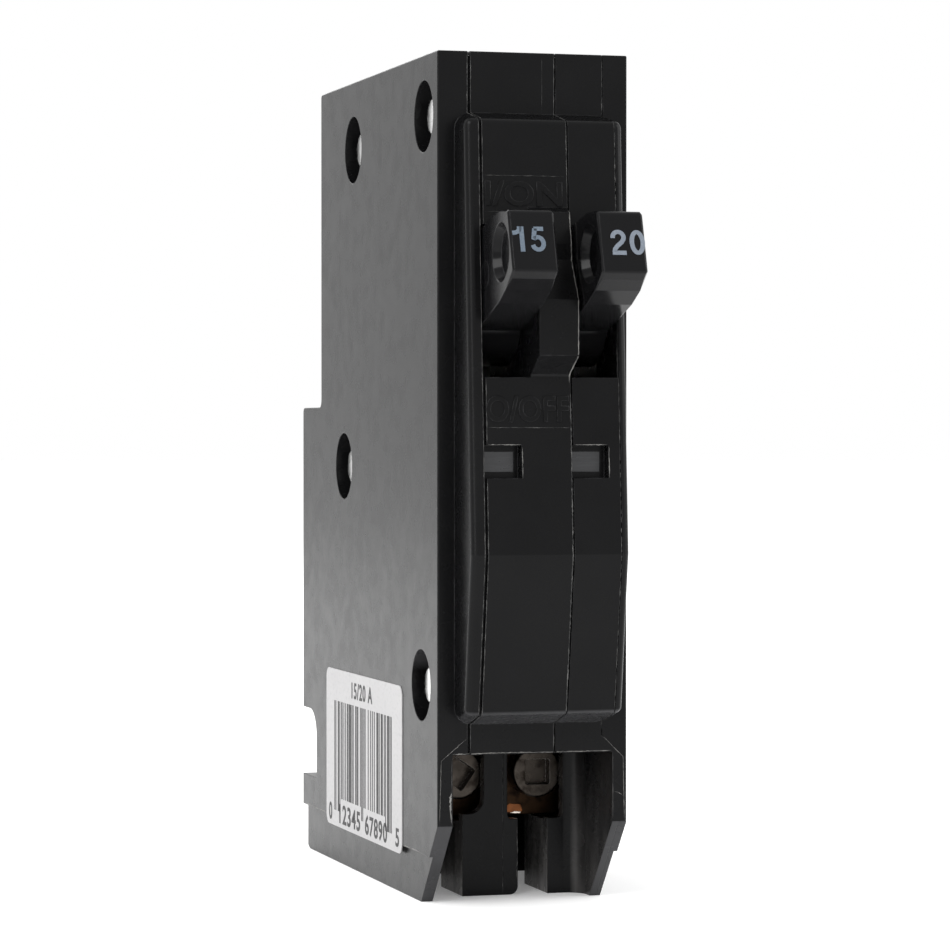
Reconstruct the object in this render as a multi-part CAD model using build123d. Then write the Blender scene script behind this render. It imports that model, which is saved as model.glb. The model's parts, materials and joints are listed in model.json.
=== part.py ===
from build123d import *
import os
from math import cos, radians, sin

# Twin plug-on circuit breaker: two thin poles side by side in one moulded case.
# Working frame, mm: X to the right, Y from the case's front face back into the panel, Z up from the
# wire end. Drops are distances below the case's top edge. Every piece is shifted along Y at export,
# so that the origin is the centre of the whole part's box, at its base.

# ---- driving dimensions ------------------------------------------------------------------------
HEIGHT = 81.3
WIDTH = 18.8
UPPER_DEPTH = 46.96
LOWER_DEPTH = 55.37
SHOULDER_DROP = 33.33
WALL = 1.5
SKIN = 1.3
HALF_WIDTH = WIDTH / 2
COVER_FLOOR = HALF_WIDTH - SKIN
FAR = 80

# notch for the panel's rail, cut-back lower front corner, and step round the lower end
NOTCH_TOP_DROP, NOTCH_BOTTOM_DROP = 65.9, 73.2
NOTCH_DEPTH = 49.1
NOTCH_RADIUS = 3.0
NOSE_CUT_DROP, NOSE_CUT_DEPTH = 73.3, 7.2
STEP_DROP, STEP_IN, STEP_BACK = 76.52, 0.35, 0.8
EDGE_ROUNDING = 0.15
SILL_DROP = 64.5

# parting planes between the four case mouldings
LEFT_SEAM = -6.45
CENTRE_SEAM = 2.1
RIGHT_SEAM = 6.85
SEPARATOR = 1.22
SEPARATOR_FACE = CENTRE_SEAM - SEPARATOR
TERMINAL_SEAM = 0.0
TERMINAL_SKIN = 8.6

# grooves along the parting planes, on the front and the top: X range and depth
GROOVES = {
    "left_case": (LEFT_SEAM, LEFT_SEAM + 0.24, 0.4),
    "right_case": (CENTRE_SEAM, CENTRE_SEAM + 0.14, 0.35),
    "right_cover": (RIGHT_SEAM, RIGHT_SEAM + 0.1, 0.3),
}

# the two poles, by the middle plane of each mechanism
POLES = {"a": -4.1, "b": 4.45}
MECH_HALF = 2.2
METAL_HALF = 1.9

# raised boss on the front face
BOSS_LEFT, BOSS_RIGHT = -7.73, 7.7
BOSS_TOP_DROP, BOSS_BOTTOM_DROP = 5.83, 63.7
BOSS_SLOPE = [(3.8, 6.7), (6.2, 47.5), (4.0, 62.5)]
BOSS_WALL = 2.2
BOSS_CORNER, BOSS_ROUNDING = 1.6, 0.7

# handles
PIVOT_DEPTH, PIVOT_DROP = 3.0, 23.75
LEAN = 17.3
HANDLE_REACH = 17.45
FRONT_HALF = 2.95
DRUM_RADIUS = 6.0
ARM_CRANK = 5.0
WELL_TOP_DROP, WELL_BOTTOM_DROP = 16.6, 30.9
WELL_SPAN = {"a": (LEFT_SEAM, -1.8), "b": (CENTRE_SEAM - 0.03, RIGHT_SEAM)}
DISH_REACH, DISH_RADIUS, DISH_TAPER, DISH_DEPTH = 14.2, 2.75, 0.4, 0.8

# rib between the handles, as depth and drop down its crest
RIB_CREST = [(-4.0, 14.8), (-5.2, 15.4), (-5.9, 18.4), (-5.9, 19.9), (-8.1, 23.7), (-8.1, 28.9),
             (-5.3, 30.6), (-4.6, 32.0)]

# indicator windows
WINDOW_DROP, WINDOW_HALF = 38.8, 1.54
LENS_HALF = 0.935
WINDOW_SPAN = {"a": (LEFT_SEAM, -2.8), "b": (CENTRE_SEAM, 5.7)}
LENS_INSET = 0.5
LENS_FRONT, LENS_THICK = -4.4, 1.0

# terminal end
LIP_DROP = 66.6
NOSE_TAB_TOP_DROP = 65.0
NOSE_TAB_OUTER = [(9.05, 67.1), (9.2, NOSE_CUT_DROP)]
BLOCK_FACE = 10.0
INNER_LEFT, INNER_RIGHT = -7.92, 7.96
POST_BACK = 17.8
TERMINAL_BACK = 28.0
CHAMBER_FRONT = 11.4
CHAMBER_TOP_DROP, CHAMBER_BOTTOM_DROP = 66.0, 74.1
SCREW_DROP = 69.5
SCREW_X = {"a": -4.04, "b": 4.04}
SCREW_TURN = {"a": 35, "b": 0}
HEAD_RADIUS, HEAD_FRONT, HEAD_BACK = 2.53, 11.7, 14.0
SCREW_RADIUS = 1.7
ACCESS_SPAN = {"a": (-7.66, -1.96), "b": (0.42, 6.12)}
ACCESS_BOTTOM_DROP = {"a": 73.3, "b": 73.9}
ACCESS_CORNER = {"a": 1.5, "b": 0.5}
CHAMBER_LEFT = {"a": INNER_LEFT, "b": 0.9}
BLOCK_CORNER, RECESS_CORNER = 0.8, 1.8
TERMINAL_SPAN = {"a": (INNER_LEFT, -0.7), "b": (1.5, INNER_RIGHT)}
CHANNEL_RIGHT = {"a": -4.14, "b": 4.53}

# rivets, as depth and drop
RIVETS = [(5.0, 5.83), (32.77, 6.93), (36.77, 39.52), (5.98, 60.29)]
RIVET_SHANK = 1.25
RIVET_HOLE = 1.32
RIVET_HEAD_RADIUS, RIVET_HEAD_HEIGHT = 1.75, 1.4
COUNTERBORE_RADIUS, COUNTERBORE_DEPTH = 3.45, 2.2
POST_RADIUS = 3.0
COVER_POST_RADIUS = 4.3

# label on the left cover, as depth and drop of its middle, and width, height and corner radius
LABEL_PLACE = (28.6, 69.15)
LABEL_SIZE = (31.3, 16.5, 1.1)
LABEL_THICK = 0.08

# contact arm and toggle linkage, in the side plane
ARM_ANGLE = 26.0
ARM_LENGTH = 22.5
ARM_THICK = 1.0
SPRING_REACH = 12.5
CRADLE_PIVOT = (8.0, 33.5)
CRADLE_HOOK = (11.0, 22.6)
CRADLE_LATCH = (26.3, 40.0)
FLAG_PEG = (1.9, 41.0)
PIN_CLEARANCE = 0.05

# pivot pins, as place and radius
PIVOT_PINS = {
    "handle_pivot": ((PIVOT_DEPTH, PIVOT_DROP), 1.0),
    "trip_pivot": (CRADLE_PIVOT, 0.9),
    "armature_pivot": ((28.7, 57.0), 0.6),
}
CRANK_PIN_RADIUS, PEG_RADIUS, FLAG_PEG_RADIUS = 0.5, 0.4, 0.5

# line side
BUS_DEPTH, BUS_THICK = 36.2, 1.0
JAW_DROPS = (14.0, 28.0)
JAW_SLOT_HALF, JAW_SLOT_DEPTH, JAW_BRIDGE = 2.6, 12, (-1, 3)

# fault sensing parts at the load side
ARMATURE_TOP_DROP = 38.2
BIMETAL_DEPTH, BIMETAL_THICK = 33.4, 0.8
SETTING_DROP, SETTING_RADIUS = 59.4, 0.75


def up(drop):
    """Height of a point that lies drop below the top edge."""
    return HEIGHT - drop


def at(point):
    """Depth and height of a point given as depth and drop."""
    return point[0], up(point[1])


# ---- shape helpers -----------------------------------------------------------------------------
def block(x0, x1, y0, y1, z0, z1):
    """Box between two corners."""
    box = Box(x1 - x0, y1 - y0, z1 - z0, align=(Align.MIN, Align.MIN, Align.MIN))
    return Pos(x0, y0, z0) * box


def side_plate(face, x0, x1):
    """Plate from x0 to x1 whose outline is a face drawn in depth and height."""
    return extrude(Plane.YZ.offset(x0) * face, amount=x1 - x0)


def side_prism(points, x0, x1):
    """Plate from x0 to x1 with a straight-edged outline of depth and height points."""
    return side_plate(make_face(Polyline(*points, close=True)), x0, x1)


def rod_x(radius, x0, x1, depth, height):
    """Round bar along X."""
    bar = Cylinder(radius, x1 - x0, align=(Align.CENTER, Align.CENTER, Align.MIN))
    return Plane.YZ.offset(x0) * Pos(depth, height, 0) * bar


def rod_y(radius, y0, y1, x, height):
    """Round bar along Y."""
    bar = Cylinder(radius, y1 - y0, align=(Align.CENTER, Align.CENTER, Align.MIN))
    return Plane(origin=(x, y0, height), x_dir=(1, 0, 0), z_dir=(0, 1, 0)) * bar


def link_face(start, start_radius, end, end_radius):
    """Tapered lever outline round two eyes, in depth and height."""
    eyes = [Pos(*start) * Circle(start_radius), Pos(*end) * Circle(end_radius)]
    return make_hull([edge for eye in eyes for edge in eye.edges()])


def strip(points, thick, x0, x1):
    """Bent metal strip: a line in depth and height, thickened and spread from x0 to x1."""
    line = Polyline(*points)
    return side_plate(trace(line, line_width=thick), x0, x1)


def rounded_corners(face, radii):
    """Face with the corners nearest to the given points rounded."""
    for point, radius in radii:
        corner = face.vertices().sort_by_distance(Vector(*point, 0))[0]
        face = fillet(corner, radius)
    return face


# ---- the outside of the case -------------------------------------------------------------------
def side_outline():
    """Outline of the case seen from the side."""
    notch_top, notch_bottom = up(NOTCH_TOP_DROP), up(NOTCH_BOTTOM_DROP)
    points = [
        (0, HEIGHT), (UPPER_DEPTH, HEIGHT), (UPPER_DEPTH, up(SHOULDER_DROP)),
        (LOWER_DEPTH, up(SHOULDER_DROP)), (LOWER_DEPTH, notch_top), (NOTCH_DEPTH, notch_top),
        (NOTCH_DEPTH, notch_bottom), (LOWER_DEPTH, notch_bottom), (LOWER_DEPTH, 0),
        (NOSE_CUT_DEPTH, 0), (0, up(NOSE_CUT_DROP)),
    ]
    face = make_face(Polyline(*points, close=True))
    return rounded_corners(face, [
        ((UPPER_DEPTH, HEIGHT), 0.4), ((UPPER_DEPTH, up(SHOULDER_DROP)), 0.9),
        ((LOWER_DEPTH, up(SHOULDER_DROP)), 0.5), ((NOTCH_DEPTH, notch_top), NOTCH_RADIUS),
        ((NOTCH_DEPTH, notch_bottom), 0.4), ((LOWER_DEPTH, 0), 2.0),
        ((0, HEIGHT), EDGE_ROUNDING),
    ])


def boss_profile(inset):
    """Depth and height points down the boss's front, moved back by inset."""
    slope = [(inset - rise, up(drop)) for rise, drop in BOSS_SLOPE]
    return [(inset, up(BOSS_TOP_DROP)), *slope, (inset, up(BOSS_BOTTOM_DROP))]


def boss():
    """Raised front boss, tapering on a long slope, with rounded edges."""
    width, height = BOSS_RIGHT - BOSS_LEFT, BOSS_BOTTOM_DROP - BOSS_TOP_DROP
    root, reach, rim_start = 1, 9, -1.5
    middle = Pos((BOSS_LEFT + BOSS_RIGHT) / 2, up(BOSS_TOP_DROP + height / 2), 0)
    foot = Plane.XZ.offset(-root) * middle * RectangleRounded(width, height, BOSS_CORNER)
    outline = [(root, up(BOSS_TOP_DROP)), *boss_profile(0), (root, up(BOSS_BOTTOM_DROP))]
    body = extrude(foot, amount=reach) & side_prism(outline, -HALF_WIDTH, HALF_WIDTH)
    outer_edges = body.edges() - body.edges().filter_by(Axis.Y)
    front_edges = outer_edges.filter_by(lambda edge: edge.center().Y < rim_start)
    knee = up(BOSS_SLOPE[1][1])
    crease = front_edges.filter_by(Axis.X).sort_by(lambda edge: abs(edge.center().Z - knee))[0]
    rim = [edge for edge in front_edges if abs(edge.center().Z - crease.center().Z) > 0.1
           or abs(edge.center().X - crease.center().X) > 0.1]
    return fillet(rim, BOSS_ROUNDING)


def envelope():
    """Outside of the closed case, as one solid that the four mouldings share."""
    body = side_plate(side_outline(), -HALF_WIDTH, HALF_WIDTH)
    top_sides = body.edges().filter_by(Axis.Y).group_by(Axis.Z)[-1]
    body = fillet(top_sides, EDGE_ROUNDING)
    step = up(STEP_DROP)
    for side in (-1, 1):
        ends = sorted((side * (HALF_WIDTH - STEP_IN), side * FAR))
        body -= block(*ends, -FAR, FAR, -FAR, step)
    body -= block(-HALF_WIDTH, HALF_WIDTH, LOWER_DEPTH - STEP_BACK, FAR, -FAR, step)
    return body + boss()


def cavity_outline():
    """Hollow for the mechanism, seen from the side: one wall inside the case's outline."""
    shoulder = up(SHOULDER_DROP + WALL)
    sill = up(SILL_DROP)
    upper, lower = UPPER_DEPTH - WALL, LOWER_DEPTH - WALL
    return [
        (WALL, up(WALL)), (upper, up(WALL)), (upper, shoulder), (lower, shoulder),
        (lower, up(NOTCH_TOP_DROP - WALL)), (NOTCH_DEPTH - WALL, up(NOTCH_TOP_DROP - WALL)),
        (NOTCH_DEPTH - WALL, WALL), (TERMINAL_BACK + WALL, WALL), (TERMINAL_BACK + WALL, sill),
        (WALL, sill),
    ]


def nose_cavity(x0, x1):
    """Hollow inside the raised boss."""
    top, knee, foot = boss_profile(BOSS_WALL)[1:-1]
    ceiling, floor = top[1] - BOSS_WALL, foot[1] + WALL
    return side_prism([(WALL, floor), (foot[0], floor + 1), knee, (top[0], ceiling),
                       (WALL, ceiling)], x0, x1)


def parting_groove(node):
    """Narrow groove beside a parting plane, down the front and back along the top."""
    x0, x1, deep = GROOVES[node]
    above = HEIGHT + 1
    outline = [(-FAR, above), (-FAR, up(LIP_DROP + 1)), (deep, up(LIP_DROP + 1)),
               *reversed(boss_profile(deep)), (deep, HEIGHT - deep),
               (UPPER_DEPTH + 1, HEIGHT - deep), (UPPER_DEPTH + 1, above)]
    return side_prism(outline, x0, x1)


# ---- what is cut from, and added to, every moulding --------------------------------------------
def screw_access(pole):
    """Opening before one terminal screw, closed below by rounded corners."""
    opening = block(*ACCESS_SPAN[pole], BLOCK_FACE - 1, HEAD_BACK, up(ACCESS_BOTTOM_DROP[pole]),
                    up(CHAMBER_TOP_DROP))
    lower = opening.edges().filter_by(Axis.Y).group_by(Axis.Z)[0]
    return fillet(lower, ACCESS_CORNER[pole])


def terminal_cuts(pole):
    """Screw access, clamp chamber, wire channel and rear well of one pole's terminal."""
    left, right = TERMINAL_SPAN[pole]
    top, below = up(CHAMBER_TOP_DROP), -1
    chamber = block(CHAMBER_LEFT[pole], right, CHAMBER_FRONT, POST_BACK, up(CHAMBER_BOTTOM_DROP),
                    top)
    channel = block(left, CHANNEL_RIGHT[pole], BLOCK_FACE - 1, POST_BACK, below, top)
    well = block(left, right, POST_BACK, TERMINAL_BACK, below, top)
    return chamber + channel + well + screw_access(pole)


def block_corner():
    """What rounds off the lower corner of the block between the two channels."""
    corner = TERMINAL_SPAN["b"][0]
    square = block(corner - BLOCK_CORNER, corner, BLOCK_FACE - 1, POST_BACK, -1, BLOCK_CORNER)
    return square - rod_y(BLOCK_CORNER, BLOCK_FACE - 2, POST_BACK + 1, corner - BLOCK_CORNER,
                          BLOCK_CORNER)


def front_recess():
    """Open space before the terminal blocks, below the front face's lower lip."""
    recess = block(INNER_LEFT, INNER_RIGHT, -FAR, BLOCK_FACE, -1, up(LIP_DROP))
    corner = recess.edges().filter_by(Axis.Z).sort_by_distance((INNER_RIGHT, BLOCK_FACE, 0))[0]
    return fillet(corner, RECESS_CORNER)


def jaw_slot():
    """Slot in the back wall for the panel's stab, open through the separator."""
    top, bottom = up(JAW_DROPS[0] - 1), up(JAW_DROPS[1] + 1)
    mouth = block(-JAW_SLOT_HALF, JAW_SLOT_HALF, UPPER_DEPTH - JAW_SLOT_DEPTH,
                  UPPER_DEPTH + 1, bottom, top)
    bridge = block(*JAW_BRIDGE, BUS_DEPTH - 1, UPPER_DEPTH - WALL, bottom, top)
    return mouth + bridge


def handle_well(pole):
    """Opening that one handle swings in."""
    return block(*WELL_SPAN[pole], -FAR, WALL, up(WELL_BOTTOM_DROP), up(WELL_TOP_DROP))


def window(pole):
    """Indicator window: a shallow notch with a smaller slot through its floor."""
    left, right = WINDOW_SPAN[pole]
    middle = up(WINDOW_DROP)
    notch = block(left, right, -FAR, LENS_FRONT, middle - WINDOW_HALF, middle + WINDOW_HALF)
    slot = block(left, right - LENS_INSET, -FAR, WALL, middle - LENS_HALF, middle + LENS_HALF)
    return notch + slot


def centre_rib():
    """Raised rib between the two handles, with its high part low down."""
    crest = [at(point) for point in RIB_CREST]
    foot = [(WALL, crest[-1][1]), (WALL, crest[0][1])]
    return side_prism(crest + foot, WELL_SPAN["a"][1], WELL_SPAN["b"][0])


def rivet_posts(radius, x0, x1):
    """Round posts that the rivets pass through, inside one moulding."""
    return [rod_x(radius, x0, x1, *at(place)) for place in RIVETS]


def rivet_holes():
    """Through holes and counterbores for the rivets."""
    holes = []
    for place in RIVETS:
        holes.append(rod_x(RIVET_HOLE, -HALF_WIDTH, HALF_WIDTH, *at(place)))
        for side in (-1, 1):
            ends = sorted((side * (HALF_WIDTH - COUNTERBORE_DEPTH), side * (HALF_WIDTH + 1)))
            holes.append(rod_x(COUNTERBORE_RADIUS, *ends, *at(place)))
    return holes


def pivot_bosses(x0, x1):
    """Collars round the pivot pins, from a wall to just short of the mechanism."""
    return [rod_x(radius + 1, x0, x1, *at(place)) for place, radius in PIVOT_PINS.values()]


def pin_spans():
    """Where the pivot pins of each pole run from wall to wall."""
    return {"a": (-COVER_FLOOR, SEPARATOR_FACE), "b": (CENTRE_SEAM, COVER_FLOOR)}


def pin_sockets():
    """Sockets in the collars for the ends of the pivot pins."""
    return [rod_x(radius, *span, *at(place)) for place, radius in PIVOT_PINS.values()
            for span in pin_spans().values()]


def nose_tab(side):
    """Corner of an inner case that laps over its cover's front edge beside the terminals."""
    seam, inner = {-1: (LEFT_SEAM, INNER_LEFT), 1: (RIGHT_SEAM, INNER_RIGHT)}[side]
    outer = [(side * x, up(drop)) for x, drop in NOSE_TAB_OUTER]
    outline = [(seam, up(LIP_DROP)), (seam, up(NOSE_TAB_TOP_DROP)), *outer,
               (inner, up(NOSE_CUT_DROP)), (inner, up(LIP_DROP))]
    face = make_face(Polyline(*outline, close=True))
    return extrude(Plane.XZ.offset(-WALL) * face, amount=WALL)


# ---- case mouldings ----------------------------------------------------------------------------
def moulding(outside, x0, x1, hollow, posts):
    """Slice of the case between two parting planes, hollowed and given its posts."""
    slab = outside & block(x0, x1, -FAR, FAR, -FAR, HEIGHT + FAR)
    slab -= side_prism(cavity_outline(), *hollow)
    for post in posts:
        slab += post
    return slab


def less(piece, cuts):
    """The piece with every cut taken away."""
    for cut in cuts:
        piece -= cut
    return piece


def case_parts():
    """The two covers and the two inner cases."""
    outside = envelope()
    left_wall, right_wall = POLES["a"] - MECH_HALF - 0.25, POLES["b"] + MECH_HALF + 0.3
    middle_wall = POLES["a"] + MECH_HALF + 0.3
    left = moulding(outside, -HALF_WIDTH, LEFT_SEAM, (-COVER_FLOOR, LEFT_SEAM),
                    rivet_posts(COVER_POST_RADIUS, -COVER_FLOOR, LEFT_SEAM)
                    + pivot_bosses(-COVER_FLOOR, left_wall))
    right = moulding(outside, RIGHT_SEAM, HALF_WIDTH, (RIGHT_SEAM, COVER_FLOOR),
                     rivet_posts(COVER_POST_RADIUS, RIGHT_SEAM, COVER_FLOOR)
                     + pivot_bosses(right_wall, COVER_FLOOR))
    case_a = moulding(outside, LEFT_SEAM, CENTRE_SEAM, (LEFT_SEAM, SEPARATOR_FACE),
                      rivet_posts(POST_RADIUS, LEFT_SEAM, RIGHT_SEAM)
                      + pivot_bosses(middle_wall, SEPARATOR_FACE))
    case_b = moulding(outside, CENTRE_SEAM, RIGHT_SEAM, (CENTRE_SEAM, RIGHT_SEAM), [])
    case_a -= nose_cavity(LEFT_SEAM, SEPARATOR_FACE)
    case_a += centre_rib()
    case_b -= nose_cavity(CENTRE_SEAM, RIGHT_SEAM)
    inner_wall = outside & block(TERMINAL_SEAM, CENTRE_SEAM, BLOCK_FACE, TERMINAL_BACK, -1,
                                 up(SILL_DROP))
    outer_wall = block(RIGHT_SEAM, TERMINAL_SKIN, WALL, TERMINAL_BACK + WALL, -1, up(LIP_DROP - 1))
    outer_wall += block(RIGHT_SEAM, TERMINAL_SKIN, -1, WALL, -1, up(NOSE_CUT_DROP))
    outer_wall = outside & outer_wall
    case_a = (case_a - inner_wall) + nose_tab(-1)
    case_b = case_b + inner_wall + outer_wall + nose_tab(1)
    left -= nose_tab(-1)
    right -= nose_tab(1) + outer_wall
    shared = [front_recess(), terminal_cuts("a"), terminal_cuts("b"), block_corner(),
              *rivet_holes(), *pin_sockets()]
    slots = [strap_slot(x) for x in POLES.values()]
    front = {"left_case": [handle_well("a"), handle_well("b"), window("a")],
             "right_case": [handle_well("b"), window("b")]}
    inner = {"left_case": case_a, "right_case": case_b}
    parts = {"left_cover": less(left, shared),
             "right_cover": less(right, shared + [parting_groove("right_cover")])}
    for name, piece in inner.items():
        cuts = shared + slots + front[name] + [jaw_slot(), parting_groove(name)]
        parts[name] = less(piece, cuts)
    return parts


def rivets():
    """Four rivets with a flat-topped head at each end, sunk in the counterbores."""
    bodies = []
    seat = HALF_WIDTH - COUNTERBORE_DEPTH
    for place in RIVETS:
        rivet = rod_x(RIVET_SHANK, -seat, seat, *at(place))
        for side in (-1, 1):
            ends = sorted((side * seat, side * (seat + RIVET_HEAD_HEIGHT)))
            head = rod_x(RIVET_HEAD_RADIUS, *ends, *at(place))
            rims = head.edges().filter_by(GeomType.CIRCLE).sort_by(Axis.X)
            rivet += fillet(rims[0 if side < 0 else -1], 0.2)
        bodies.append(rivet)
    return Compound(children=bodies)


def side_label():
    """Paper label on the left cover, standing one paper's thickness proud."""
    depth, drop = LABEL_PLACE
    width, height, corner = LABEL_SIZE
    plane = Plane(origin=(-HALF_WIDTH, depth, up(drop)), x_dir=(0, -1, 0), z_dir=(-1, 0, 0))
    return extrude(plane * RectangleRounded(width, height, corner), amount=LABEL_THICK)


# ---- handle and contact arm --------------------------------------------------------------------
def grip_face():
    """Outline of the grip about the pivot: waisted sides and a bevelled front."""
    half_grip = [(4.5, 4.25), (12.0, 4.2), (14.7, 3.8), (16.4, 3.35), (HANDLE_REACH, FRONT_HALF)]
    outline = [(-reach, half) for reach, half in half_grip]
    outline += [(-reach, -half) for reach, half in reversed(half_grip)]
    face = make_face(Polyline(*outline, close=True))
    return rounded_corners(face, [((-HANDLE_REACH, FRONT_HALF), 0.6),
                                  ((-HANDLE_REACH, -FRONT_HALF), 0.35)])


def handle(pole):
    """Toggle handle: a waisted grip on a drum, leaning up in the closed position."""
    middle = POLES[pole]
    x0, x1 = middle - MECH_HALF, middle + MECH_HALF
    body = side_plate(grip_face(), x0, x1) + rod_x(DRUM_RADIUS, x0, x1, 0, 0)
    for side in (-1, 1):
        rim = Plane(origin=(middle + side * MECH_HALF, -DISH_REACH, 0), z_dir=(-side, 0, 0))
        body -= rim * Cone(DISH_RADIUS, DISH_RADIUS - DISH_TAPER, DISH_DEPTH,
                           align=(Align.CENTER, Align.CENTER, Align.MIN))
    body = chamfer(body.faces().sort_by(Axis.Y)[0].edges().filter_by(Axis.Z), 0.18)
    hub_radius, arm_side = 2.0, middle - 0.7
    body -= block(x0 - 1, arm_side, 0, DRUM_RADIUS + 2, -DRUM_RADIUS - 2, DRUM_RADIUS + 2)
    body += rod_x(hub_radius, x0, middle, 0, 0)
    body -= rod_x(PIVOT_PINS["handle_pivot"][1] + PIN_CLEARANCE, x0 - 1, x1 + 1, 0, 0)
    body -= rod_x(CRANK_PIN_RADIUS + PIN_CLEARANCE, x0 - 1, middle + 0.5, ARM_CRANK, 0)
    return Pos(0, *at((PIVOT_DEPTH, PIVOT_DROP))) * Rot(X=-LEAN) * body


def crank_pin():
    """Depth and height of the pin that carries the contact arm in the drum."""
    depth, height = at((PIVOT_DEPTH, PIVOT_DROP))
    return depth + ARM_CRANK * cos(radians(LEAN)), height - ARM_CRANK * sin(radians(LEAN))


def on_arm(reach, lift=0.0):
    """Point on the closed contact arm: reach along it, lift to its upper side."""
    depth, height = crank_pin()
    c, s = cos(radians(ARM_ANGLE)), sin(radians(ARM_ANGLE))
    return depth + reach * c - lift * s, height + reach * s + lift * c


def arm_plane(x, reach, lift):
    """Plane on the contact arm with Z to its upper side and local X along the arm."""
    c, s = cos(radians(ARM_ANGLE)), sin(radians(ARM_ANGLE))
    return Plane(origin=(x, *on_arm(reach, lift)), x_dir=(0, c, s), z_dir=(0, -s, c))


def contact_arm(x):
    """Copper contact arm: a blade beside the spring, with a turned foot under the contact."""
    left = x - METAL_HALF
    blade = side_plate(link_face(on_arm(0), 1.6, on_arm(ARM_LENGTH), 1.3), left, left + ARM_THICK)
    foot = arm_plane(x, ARM_LENGTH - 0.4, 0.7) * Box(4.4, 2 * METAL_HALF, 1.2)
    spring_peg = rod_x(PEG_RADIUS, left, x + 0.5, *on_arm(SPRING_REACH))
    arm = blade + foot + spring_peg
    return arm - rod_x(CRANK_PIN_RADIUS + PIN_CLEARANCE, left - 1, x, *on_arm(0))


def contact_button(x, lift):
    """Silver contact button on the arm's foot or facing it."""
    radius, thick = 1.45, 0.8
    button = Cylinder(radius, thick, align=(Align.CENTER, Align.CENTER, Align.MIN))
    return arm_plane(x, ARM_LENGTH, lift) * chamfer(button.edges(), 0.12)


def toggle_spring(x):
    """Extension spring between the trip lever's hook and the contact arm's peg."""
    start = Vector(x, *at(CRADLE_HOOK))
    end = Vector(x, *on_arm(SPRING_REACH))
    along = (end - start).normalized()
    eye, wire, coil_radius, pitch = 0.65, 0.18, 0.5, 0.75
    coil_length = (end - start).length - 2 * eye
    coil_plane = Plane(origin=start + along * eye, z_dir=along)
    path = coil_plane * Helix(pitch=pitch, height=coil_length, radius=coil_radius)
    section = Plane(origin=path @ 0, z_dir=path % 0) * Circle(wire)
    coil = sweep(section, path=path, is_frenet=True)
    eyes = [Pos(*place) * Rot(Y=90) * Torus(eye, wire) for place in (start, end)]
    return Compound(children=[coil, *eyes])


# ---- trip lever and indicator ------------------------------------------------------------------
def trip_lever(x):
    """Steel cradle: spring hook above its pivot, latch tip behind it, flag arm in front."""
    x0, x1 = x + METAL_HALF - 1.0, x + METAL_HALF
    pivot, hub_radius = at(CRADLE_PIVOT), 1.9
    plate = side_plate(link_face(pivot, hub_radius, at(CRADLE_HOOK), 1.1), x0, x1)
    plate += side_plate(link_face(pivot, hub_radius, at(CRADLE_LATCH), 1.0), x0, x1)
    plate += side_plate(link_face(pivot, hub_radius, at(FLAG_PEG), 1.0), x0, x1)
    plate += rod_x(PEG_RADIUS, x - 0.5, x1, *at(CRADLE_HOOK))
    plate += rod_x(FLAG_PEG_RADIUS, x - 0.5, x1, *at(FLAG_PEG))
    hole_radius = PIVOT_PINS["trip_pivot"][1] + PIN_CLEARANCE
    return plate - rod_x(hole_radius, x0 - 1, x1 + 1, *pivot)


def indicator_flag(x):
    """Bright plate on the lever's front arm that rises behind the window after a trip."""
    front, back = 0.2, 2.9
    top, bottom = 40.1, 43.9
    plate = block(x - 1.8, x + 0.75, front, back, up(bottom), up(top))
    return plate - rod_x(FLAG_PEG_RADIUS, x - MECH_HALF, x + 1, *at(FLAG_PEG))


def indicator_lens(pole):
    """Clear pane in the indicator window."""
    left, right = WINDOW_SPAN[pole]
    middle = up(WINDOW_DROP)
    return block(left, right - LENS_INSET, LENS_FRONT, LENS_FRONT + LENS_THICK,
                 middle - LENS_HALF, middle + LENS_HALF)


# ---- fault sensing -----------------------------------------------------------------------------
def armature(x):
    """Steel armature plate that hangs on a low pivot before the magnet yoke."""
    place, pin_radius = PIVOT_PINS["armature_pivot"]
    depth, height = at(place)
    half_wide, half_thick, barrel = MECH_HALF - 0.1, 0.5, 1.1
    plate = block(x - half_wide, x + half_wide, depth - half_thick, depth + half_thick, height,
                  up(ARMATURE_TOP_DROP))
    slot_half, slot_top, slot_bottom = 0.6, 48.5, 55.5
    plate -= block(x - slot_half, x + slot_half, depth - 1, depth + 1, up(slot_bottom),
                   up(slot_top))
    plate += rod_x(barrel, x - half_wide, x + half_wide, depth, height)
    return plate - rod_x(pin_radius + PIN_CLEARANCE, x - MECH_HALF, x + MECH_HALF, depth, height)


def armature_spring(x):
    """Leaf spring that stands on the load strap and keeps the armature forward."""
    points = [at(place) for place in ((30.2, 61.5), (31.8, 61.5), (31.5, 57.4), (29.7, 49.5),
                                      (29.32, 46.5))]
    half_wide, thick = 0.5, 0.2
    return strip(points, thick, x - half_wide, x + half_wide)


def magnet_yoke(x):
    """Channel of magnet steel round the bimetal."""
    bottom, top = up(55.5), up(45.0)
    half_wide, front, back, leg_thick, back_thick = 2.1, 31.2, 37.0, 0.5, 1.0
    yoke = block(x - half_wide, x + half_wide, back - back_thick, back, bottom, top)
    for side in (-1, 1):
        ends = sorted((x + side * half_wide, x + side * (half_wide - leg_thick)))
        yoke += block(*ends, front, back - back_thick / 2, bottom, top)
    return yoke


def bimetal(x):
    """Bimetal strip, fixed at its foot and free at its top."""
    half_wide, foot_drop, tip_drop = 1.3, 61.0, 42.8
    return block(x - half_wide, x + half_wide, BIMETAL_DEPTH, BIMETAL_DEPTH + BIMETAL_THICK,
                 up(foot_drop), up(tip_drop))


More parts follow.
